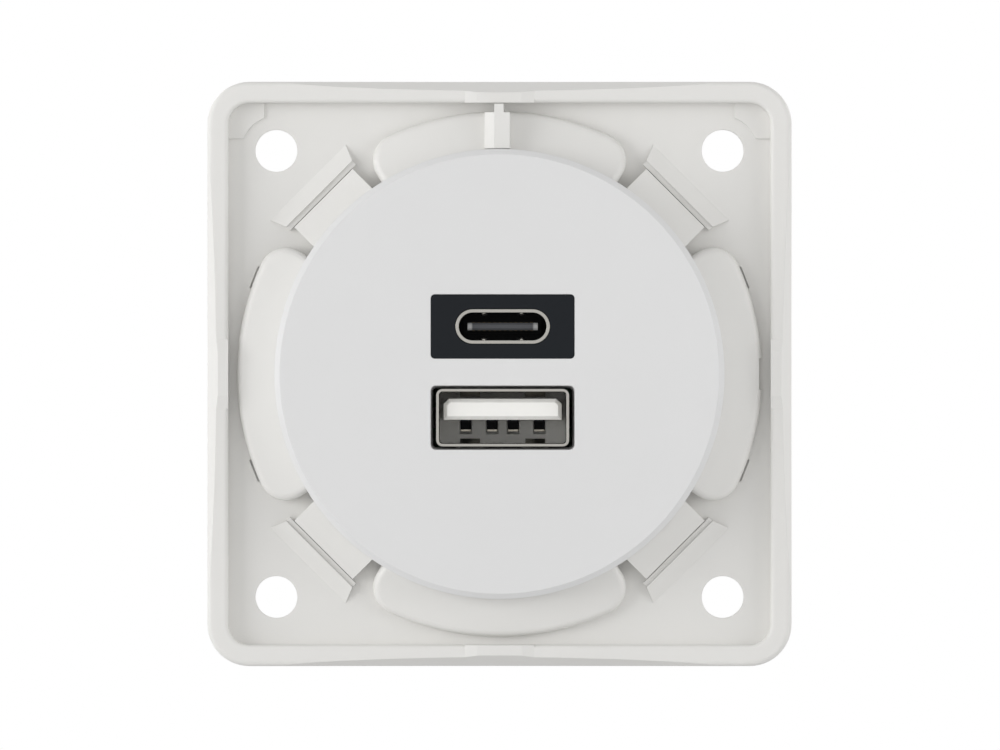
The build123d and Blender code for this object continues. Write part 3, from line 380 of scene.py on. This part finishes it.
def grow(name, tree, values):
    """A plain mesh object from a geometry node tree and the values of its inputs."""
    piece = bpy.data.objects.new(name, bpy.data.meshes.new(name))
    bpy.context.scene.collection.objects.link(piece)
    shape = piece.modifiers.new("Shape", "NODES")
    shape.node_group = tree
    for item in tree.interface.items_tree:
        if item.in_out == "INPUT":
            shape[item.identifier] = values[item.name]
    bpy.context.view_layer.update()
    evaluated = piece.evaluated_get(bpy.context.evaluated_depsgraph_get())
    made = bpy.data.meshes.new_from_object(evaluated)
    if not made.polygons:
        raise RuntimeError(f"{name} came out empty")
    piece.modifiers.clear()
    piece.data = made
    made.polygons.foreach_set("use_smooth", [True] * len(made.polygons))
    made.set_sharp_from_angle(angle=CREASE_ANGLE)
    return piece


def tree_with(name, numbers, vector):
    """A geometry node tree with named inputs, numbers and one vector, and those inputs as wires."""
    tree = bpy.data.node_groups.new(name, "GeometryNodeTree")
    web = Web(tree)
    for label in numbers:
        tree.interface.new_socket(label, in_out="INPUT", socket_type="NodeSocketFloat")
    tree.interface.new_socket(vector, in_out="INPUT", socket_type="NodeSocketVector")
    tree.interface.new_socket("Geometry", in_out="OUTPUT", socket_type="NodeSocketGeometry")
    entry = tree.nodes.new("NodeGroupInput")
    return web, {label: Wire(tree, entry.outputs[label]) for label in (*numbers, vector)}


def close_tree(web, shape, material):
    real = web.node("GeometryNodeRealizeInstances", None, {"Geometry": shape})
    painted = web.node("GeometryNodeSetMaterial", None, {"Geometry": real, "Material": material})
    web.node("NodeGroupOutput", None, {"Geometry": painted})
    return web.tree


def put(web, shape, offset=(0, 0, 0), turn=(0, 0, 0)):
    inputs = {"Geometry": shape, "Translation": offset, "Rotation": turn}
    return web.node("GeometryNodeTransform", None, inputs)


def triple(web, x=0.0, y=0.0, z=0.0):
    return web.node("ShaderNodeCombineXYZ", None, {"X": x, "Y": y, "Z": z})


def screw_tree(material):
    """A slotted clamp screw with its thread, built up from its tip and then laid along Y."""
    web, size = tree_with(
        "Clamp screw",
        ("Root", "Pitch", "Depth", "Length", "Head radius", "Head height", "Head edge",
         "Slot width", "Slot depth", "Cross length"),
        "Tip",
    )
    shaft = size["Length"] + size["Head edge"]
    root = web.node(
        "GeometryNodeMeshCylinder", None,
        {"Vertices": SHAFT_SIDES, "Radius": size["Root"], "Depth": shaft},
    )
    root = put(web, root, triple(web, z=shaft / 2))
    spiral = web.node(
        "GeometryNodeCurveSpiral", None,
        {"Resolution": THREAD_STEPS, "Rotations": size["Length"] / size["Pitch"] - 1,
         "Start Radius": size["Root"], "End Radius": size["Root"],
         "Height": size["Length"] - size["Pitch"]},
    )
    spiral = web.node("GeometryNodeSetCurveNormal", {"mode": "Z_UP"}, {"Curve": spiral})
    ridge = web.node("GeometryNodeCurvePrimitiveCircle", None, {"Resolution": 4, "Radius": size["Depth"]})
    thread = web.node(
        "GeometryNodeCurveToMesh", None,
        {"Curve": spiral, "Profile Curve": ridge, "Fill Caps": True},
    )
    thread = put(web, thread, triple(web, z=size["Pitch"] / 2))
    straight = size["Head height"] - size["Head edge"]
    head = web.node(
        "GeometryNodeMeshCylinder", None,
        {"Vertices": HEAD_SIDES, "Radius": size["Head radius"], "Depth": straight},
    )
    head = put(web, head, triple(web, z=size["Length"] + straight / 2))
    bevel = web.node(
        "GeometryNodeMeshCone", None,
        {"Vertices": HEAD_SIDES, "Radius Top": size["Head radius"] - size["Head edge"],
         "Radius Bottom": size["Head radius"], "Depth": size["Head edge"]},
    )
    bevel = put(web, bevel, triple(web, z=size["Length"] + straight))
    body = web.node(
        "GeometryNodeMeshBoolean", {"operation": "UNION"}, {"Mesh 2": [head, bevel, root]}
    )
    # The long slot runs past the head, and half of each cutter stands above it
    cuts = []
    for along, across in (
        (size["Head radius"] * 2.2, size["Slot width"]),
        (size["Slot width"], size["Cross length"]),
    ):
        cutter = web.node(
            "GeometryNodeMeshCube", None, {"Size": triple(web, along, across, size["Slot depth"] * 2)}
        )
        cuts.append(put(web, cutter, triple(web, z=size["Length"] + size["Head height"])))
    slotted = web.node(
        "GeometryNodeMeshBoolean", {"operation": "DIFFERENCE"}, {"Mesh 1": body, "Mesh 2": cuts}
    )
    whole = web.node("GeometryNodeJoinGeometry", None, {"Geometry": [slotted, thread]})
    laid = put(web, whole, size["Tip"], (-math.pi / 2, 0, 0))
    return close_tree(web, laid, material)


def tooth_tree(material):
    """A row of three-sided teeth that run across the cage and rise from its clamping wall."""
    web, size = tree_with("Cage teeth", ("Count", "Height", "Width", "Pitch"), "First")
    row = web.node(
        "GeometryNodeMeshLine", None,
        {"Count": size["Count"], "Start Location": size["First"], "Offset": triple(web, z=size["Pitch"])},
    )
    tooth = web.node(
        "GeometryNodeMeshCylinder", None,
        {"Vertices": 3, "Radius": size["Height"], "Depth": size["Width"]},
    )
    turn = Matrix.Rotation(math.pi / 2, 3, "Y") @ Matrix.Rotation(math.pi / 2, 3, "Z")
    tooth = put(web, tooth, turn=tuple(turn.to_euler()))
    teeth = web.node("GeometryNodeInstanceOnPoints", None, {"Points": row, "Instance": tooth})
    return close_tree(web, teeth, material)


def spring_tree(material):
    """Four small rounded springs, two on the roof of a port tube and two on its floor."""
    web, size = tree_with("Tube springs", ("Spread", "Height", "Width", "Length", "Rise"), "Middle")
    corners = web.node(
        "GeometryNodeMeshGrid", None,
        {"Size X": size["Spread"] * 2, "Size Y": size["Height"], "Vertices X": 2, "Vertices Y": 2},
    )
    corners = put(web, corners, size["Middle"], (math.pi / 2, 0, 0))
    dome = web.node(
        "GeometryNodeMeshUVSphere", None,
        {"Segments": SPRING_SIDES, "Rings": SPRING_SIDES // 2, "Radius": 1.0},
    )
    scale = triple(web, size["Width"] / 2, size["Length"] / 2, size["Rise"])
    springs = web.node(
        "GeometryNodeInstanceOnPoints", None, {"Points": corners, "Instance": dome, "Scale": scale}
    )
    return close_tree(web, springs, material)


# Operators, one for each group of pieces
class SOCKET_OT_mouldings(bpy.types.Operator):
    """Finish the plate, the collar, the cover and the rear housing"""

    bl_idname = "wall_socket.mouldings"
    bl_label = "White mouldings"

    def execute(self, context):
        look = context.scene.wall_socket.mouldings
        dress(moulding("plate_plastic", look.plate, look), "mounting_plate")
        dress(moulding("collar_plastic", look.collar, look), "module_collar")
        dress(moulding("cover_plastic", look.cover, look, rough=0.4, grain=1.3), "front_cover")
        dress(moulding("housing_plastic", look.housing, look, rough=0.5), "rear_housing")
        return {"FINISHED"}


class SOCKET_OT_ports(bpy.types.Operator):
    """Finish the two USB ports, and make the springs in the USB-C tube"""

    bl_idname = "wall_socket.ports"
    bl_label = "USB ports"

    def execute(self, context):
        scene = context.scene.wall_socket
        look = scene.ports
        bezel = moulding("bezel_plastic", look.bezel, scene.mouldings, rough=0.36, shine=0.1)
        dress(bezel, "usb_c_bezel")
        dress(self.tongue(look), "usb_c_tongue")
        dress(self.insulator(look), "usb_a_insulator")
        # The USB-C tube turns to the near-black of painted shade behind its mouth
        dress(self.tube("usb_c_steel", look, look.painted_shade, "usb_c_tube"), "usb_c_tube")
        dress(self.tube("usb_a_steel", look, look.grey, "usb_a_tube"), "usb_a_tube")
        dress(metal("contact_gold", look.dull_gold, 0.4), "usb_c_contacts")
        dress(self.contacts(look), "usb_a_contacts")
        self.springs(look)
        return {"FINISHED"}

    def tongue(self, look):
        """Black plastic, greyer at the front of the tongue, with a bright metal latch at each end; deeper
        in the port it turns to painted shade
        """
        finish = Finish("black_tongue")
        low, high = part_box("usb_c_contacts")
        deep = finish.steps(finish.axis("Y"), low.y, low.y + look.mouth)
        across = finish.axis("X") - (low.x + high.x) / 2
        latch_edge = look.latch_spread * 1.08
        ends = finish.steps(across * across, look.latch_spread ** 2, latch_edge ** 2)
        fine = finish.noise(PORT_GRIT)
        return finish.surface(
            # Deeper in the port the tongue takes the near-black of painted shade
            Base_Color=finish.mix(deep, finish.mix(ends, look.black, look.latch), look.painted_shade),
            Specular_IOR_Level=0.1,
            Roughness=vary(0.45, fine, 0.1),
            Normal=finish.bump(fine, PORT_GRIT_HEIGHT),
        )

    def insulator(self, look):
        """White plastic of the tongue and its base"""
        finish = Finish("white_tongue")
        fine = finish.noise(PORT_GRIT)
        return finish.surface(
            Base_Color=finish.shades(fine, look.white, 0.98, 1.0),
            Roughness=vary(0.43, fine, 0.1),
            Normal=finish.bump(fine, PORT_GRIT_HEIGHT, PORT_EDGE),
        )

    def contacts(self, look):
        """Tin strips under painted shade, which keep their tin colour only in a band at the front of
        their bent feet
        """
        finish = Finish("contact_tin")
        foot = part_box("usb_a_contacts")[1].y - look.foot
        depth = finish.axis("Y")
        near = finish.steps(depth, foot - look.foot * 0.2, foot - look.foot * 0.1)
        far = finish.steps(depth, foot + look.foot * 0.1, foot + look.foot * 0.35)
        # Painted shade over the strips, tin only in the band at the foot
        return finish.drawn_metal(finish.mix(near - far, look.painted_shade, look.tin), 0.4)

    def tube(self, name, look, inside, node):
        """Drawn steel at the mouth of the port, turning deeper in to another colour; in the USB-C tube
        that colour is painted shade
        """
        finish = Finish(name)
        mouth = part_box(node)[0].y
        deep = finish.steps(finish.axis("Y"), mouth + look.mouth * 0.1, mouth + look.mouth)
        return finish.drawn_metal(finish.mix(deep, look.steel, inside), 0.3)

    def springs(self, look):
        """Small springs that stand off the roof and the floor of the USB-C tube"""
        low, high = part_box("usb_c_tongue")
        middle = (low + high) / 2
        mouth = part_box("usb_c_tube")[0].y
        piece = grow("usb_c_springs", spring_tree(metal("spring_steel", look.grey, 0.35)), {
            "Spread": look.spring_spread,
            "Height": high.z - low.z,
            "Width": look.spring_width,
            "Length": look.spring_length,
            "Rise": look.spring_rise,
            "Middle": (middle.x, mouth + look.spring_inset, middle.z),
        })
        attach(piece, "socket")


class SOCKET_OT_inner_parts(bpy.types.Operator):
    """Finish the boards and the parts that they carry"""

    bl_idname = "wall_socket.inner_parts"
    bl_label = "Boards and parts"

    def execute(self, context):
        scene = context.scene.wall_socket
        look = scene.inner
        dress(self.lacquer(look), "connector_board", "power_board")
        dress(self.ferrite(look), "transformer_core", "line_choke")
        dress(self.tape(look), "transformer_winding")
        bulk = self.can("bulk_can", look, look.sleeve, look.can, "bulk_capacitors")
        dress(bulk, "bulk_capacitors")
        smoothing = self.can("smoothing_can", look, look.can, look.disc, "smoothing_capacitors")
        dress(smoothing, "smoothing_capacitors")
        dress(self.coat(look), "varistor", "safety_capacitor")
        black = moulding("part_black", look.bobbin, scene.mouldings, rough=0.5)
        dress(black, "transformer_bobbin", "header_block", "fuse", "bridge_rectifier")
        dress(black, "controller_chip", "charge_chip")
        dress(metal("header_gold", scene.ports.gold, 0.25), "header_pins")
        return {"FINISHED"}

    def lacquer(self, look):
        """Green lacquer that stands up over the tracks"""
        finish = Finish("board_lacquer")
        cells = finish.node(
            "ShaderNodeTexVoronoi",
            {"feature": "DISTANCE_TO_EDGE"},
            {"Vector": finish.place, "Scale": BOARD_TRACKS, "Randomness": 0.7},
        )
        track = finish.steps(cells, low=0.16, high=0.10)
        weave = finish.noise(BOARD_WEAVE, detail=2.0, rough=0.5)
        return finish.surface(
            Base_Color=finish.mix(track, look.board, look.track),
            Roughness=vary(0.37, weave, 0.1),
            Normal=finish.bump(track, TRACK_HEIGHT),
        )

    def ferrite(self, look):
        """Pressed grey powder"""
        finish = Finish("ferrite")
        grit = finish.noise(FERRITE_GRIT, rough=0.7)
        return finish.surface(
            Base_Color=finish.shades(grit, look.ferrite, 0.8, 1.25),
            Roughness=vary(0.6, grit, 0.2),
            Normal=finish.bump(grit, FERRITE_GRIT_HEIGHT),
        )

    def tape(self, look):
        """Yellow film through which the turns of the wire show"""
        finish = Finish("winding_tape")
        turns = finish.node(
            "ShaderNodeTexWave",
            {"bands_direction": "Z"},
            {"Vector": finish.place, "Scale": TAPE_TURNS, "Distortion": 1.0},
        )
        return finish.surface(
            Base_Color=finish.shades(turns, look.tape, 0.85, 1.0),
            Roughness=vary(0.26, turns, 0.12),
            Normal=finish.bump(turns, TAPE_TURN_HEIGHT),
        )

    def can(self, name, look, side, top, node):
        """A sleeve or a bare can with a metal lid of another colour"""
        finish = Finish(name)
        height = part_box(node)[1].z
        lid = finish.steps(finish.axis("Z"), height - look.lid, height - look.lid_edge)
        scuff = finish.noise(CAN_SCUFFS)
        return finish.surface(
            Base_Color=finish.mix(lid, side, top),
            Metallic=lid * 0.9,
            Roughness=vary(0.37, scuff, 0.14),
            Normal=finish.bump(scuff, CAN_SCUFF_HEIGHT),
        )

    def coat(self, look):
        """Dipped blue lacquer with a soft orange-peel surface"""
        finish = Finish("disc_lacquer")
        peel = finish.noise(LACQUER_PEEL, detail=2.0, rough=0.5)
        return finish.surface(
            Base_Color=finish.shades(peel, look.disc, 0.9, 1.1),
            Roughness=vary(0.29, peel, 0.1),
            Normal=finish.bump(peel, LACQUER_PEEL_HEIGHT),
        )


class SOCKET_OT_terminals(bpy.types.Operator):
    """Finish the terminal block, and make the threaded screws and the toothed cages"""

    bl_idname = "wall_socket.terminals"
    bl_label = "Terminals"

    def execute(self, context):
        scene = context.scene.wall_socket
        block = moulding("block_plastic", scene.mouldings.block, scene.mouldings, rough=0.5)
        dress(block, "terminal_block")
        brass = metal("bar_brass", scene.inner.brass, 0.3, "Z")
        dress(brass, "terminal_bar_live", "terminal_bar_neutral")
        zinc = metal("clamp_zinc", scene.inner.zinc, 0.34, "Z", worn=0.2)
        dress(zinc, "clamp_cage_live", "clamp_cage_neutral")
        screws = screw_tree(zinc)
        teeth = tooth_tree(zinc)
        for pole in ("live", "neutral"):
            self.screw(pole, screws, scene.clamps)
            self.teeth(pole, teeth, scene.clamps)
        return {"FINISHED"}

    def screw(self, pole, tree, size):
        """The threaded screw of one pole, in the place of its plain solid"""
        low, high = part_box(f"clamp_screw_{pole}")
        middle = (low + high) / 2
        piece = grow(f"threaded_screw_{pole}", tree, {
            "Root": size.shaft_radius - size.thread_depth,
            "Pitch": size.thread_pitch,
            "Depth": size.thread_depth,
            "Length": high.y - low.y - size.head_height,
            "Head radius": (high.x - low.x) / 2,
            "Head height": size.head_height,
            "Head edge": size.head_edge,
            "Slot width": size.slot_width,
            "Slot depth": size.slot_depth,
            "Cross length": size.cross_length,
            "Tip": (middle.x, low.y, middle.z),
        })
        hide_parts(f"clamp_screw_{pole}")
        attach(piece, f"screw_{pole}")

    def teeth(self, pole, tree, size):
        """The gripping teeth inside the cage of one pole"""
        low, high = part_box(f"clamp_cage_{pole}")
        middle = (low + high) / 2
        rise = size.tooth_pitch * (size.tooth_count - 1) / 2
        piece = grow(f"cage_teeth_{pole}", tree, {
            "Count": float(size.tooth_count),
            "Height": size.tooth_height,
            "Width": high.x - low.x - 2 * (size.side + size.tooth_fit),
            "Pitch": size.tooth_pitch,
            "First": (middle.x, low.y + size.wall, middle.z - rise),
        })
        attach(piece, f"cage_{pole}")


class SOCKET_OT_studio(bpy.types.Operator):
    """Set the camera, the lamps, the pale floor and the white surround"""

    bl_idname = "wall_socket.studio"
    bl_label = "Studio"

    def execute(self, context):
        scene = context.scene
        look = scene.wall_socket.studio
        scene.view_settings.view_transform = "Standard"
        self.camera(scene, look)
        # Each lamp's place in metres from the middle of the plate, and the side of its square
        self.lamp(scene, "key", (-0.84, -0.52, 0.02), 0.70, look.key)
        self.lamp(scene, "front", (-0.10, -0.95, 0.00), 0.60, look.front)
        self.lamp(scene, "right", (0.84, -0.52, 0.00), 0.70, look.right)
        self.lamp(scene, "left_edge", (-0.98, -0.17, 0.05), 0.40, look.left_edge)
        self.lamp(scene, "right_edge", (0.98, -0.17, 0.05), 0.40, look.right_edge)
        self.lamp(scene, "rear_left", (-0.60, 0.70, 0.45), 0.50, look.rear_left)
        self.lamp(scene, "rear_right", (0.65, 0.60, 0.35), 0.50, look.rear_right)
        self.surround(scene, look)
        self.floor(scene, look)
        return {"FINISHED"}

    def camera(self, scene, look):
        """A far camera that looks straight at the front of the plate"""
        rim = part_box("mounting_plate")[0].y
        lens = bpy.data.cameras.new("camera")
        lens.lens = look.lens
        lens.sensor_width = 36
        lens.sensor_fit = "HORIZONTAL"
        lens.clip_start = 0.01
        camera = bpy.data.objects.new("camera", lens)
        camera.location = (look.aim_right, rim - look.distance, look.aim_up)
        camera.rotation_euler = (math.pi / 2, 0, 0)
        scene.collection.objects.link(camera)
        scene.camera = camera

    def lamp(self, scene, name, place, side, power):
        """A square soft lamp that shines at the middle of the plate"""
        light = bpy.data.lights.new(name, "AREA")
        light.shape = "SQUARE"
        light.size = side
        light.energy = power
        lamp = bpy.data.objects.new(name, light)
        lamp.location = place
        lamp.rotation_euler = (-Vector(place)).to_track_quat("-Z", "Y").to_euler()
        lamp.visible_camera = False
        scene.collection.objects.link(lamp)

    def surround(self, scene, look):
        """White where it is seen, and a soft even light"""
        world = bpy.data.worlds.new("surround")
        world.use_nodes = True
        web = Web(world.node_tree)
        colour = (1, 1, 1, 1)
        soft = web.node("ShaderNodeBackground", None, {"Color": colour, "Strength": look.sky})
        white = web.node("ShaderNodeBackground", None, {"Color": colour, "Strength": 1.0})
        both = web.node("ShaderNodeMixShader", None, {0: web.seen(), 1: soft, 2: white})
        web.node("ShaderNodeOutputWorld", None, {"Surface": both})
        scene.world = world

    def floor(self, scene, look):
        """A round pale floor that keeps the shadow and turns white further out"""
        turns = [math.tau * step / FLOOR_SIDES for step in range(FLOOR_SIDES)]
        radius = look.floor_radius
        rim = [(radius * math.cos(turn), radius * math.sin(turn), 0) for turn in turns]
        mesh = bpy.data.meshes.new("floor")
        mesh.from_pydata(rim, [], [list(range(FLOOR_SIDES))])
        floor = bpy.data.objects.new("floor", mesh)
        floor.location.z = -look.floor_drop
        scene.collection.objects.link(floor)
        finish = Finish("pale_floor")
        reach = finish.node("ShaderNodeVectorMath", {"operation": "LENGTH"}, {0: finish.place}, "Value")
        fade = finish.steps(reach, look.fade_start, look.fade_end)
        speck = finish.noise(FLOOR_SPECKS, detail=2.0, rough=0.5)
        paint = finish.node(
            "ShaderNodeBsdfDiffuse", None, {"Color": finish.shades(speck, look.floor, 0.99, 1.01)}
        )
        white = finish.node("ShaderNodeEmission", None, {"Strength": 1.0})
        both = finish.node("ShaderNodeMixShader", None, {0: finish.seen() * fade, 1: paint, 2: white})
        finish.node("ShaderNodeOutputMaterial", None, {"Surface": both})
        mesh.materials.append(finish.material)


class SOCKET_PT_panel(bpy.types.Panel):
    """Sidebar panel with the steps of the socket and their settings"""

    bl_idname = "SOCKET_PT_panel"
    bl_label = "USB wall socket"
    bl_space_type = "VIEW_3D"
    bl_region_type = "UI"
    bl_category = "Wall socket"

    def draw(self, context):
        settings = context.scene.wall_socket
        for step, group in steps:
            column = self.layout.column(align=True)
            column.operator(step.bl_idname)
            values = getattr(settings, group)
            for key in values.__annotations__:
                column.prop(values, key)


steps = (
    (SOCKET_OT_mouldings, "mouldings"),
    (SOCKET_OT_ports, "ports"),
    (SOCKET_OT_inner_parts, "inner"),
    (SOCKET_OT_terminals, "clamps"),
    (SOCKET_OT_studio, "studio"),
)
classes = (
    MouldingLook, PortLook, InnerLook, ClampSizes, StudioLook, WallSocket,
    *(step for step, group in steps), SOCKET_PT_panel,
)


def register():
    for cls in classes:
        bpy.utils.register_class(cls)
    bpy.types.Scene.wall_socket = PointerProperty(type=WallSocket)


def unregister():
    del bpy.types.Scene.wall_socket
    for cls in reversed(classes):
        bpy.utils.unregister_class(cls)


def main():
    register()
    bpy.ops.wall_socket.mouldings()
    bpy.ops.wall_socket.ports()
    bpy.ops.wall_socket.inner_parts()
    bpy.ops.wall_socket.terminals()
    bpy.ops.wall_socket.studio()


if __name__ == "__main__":
    main()
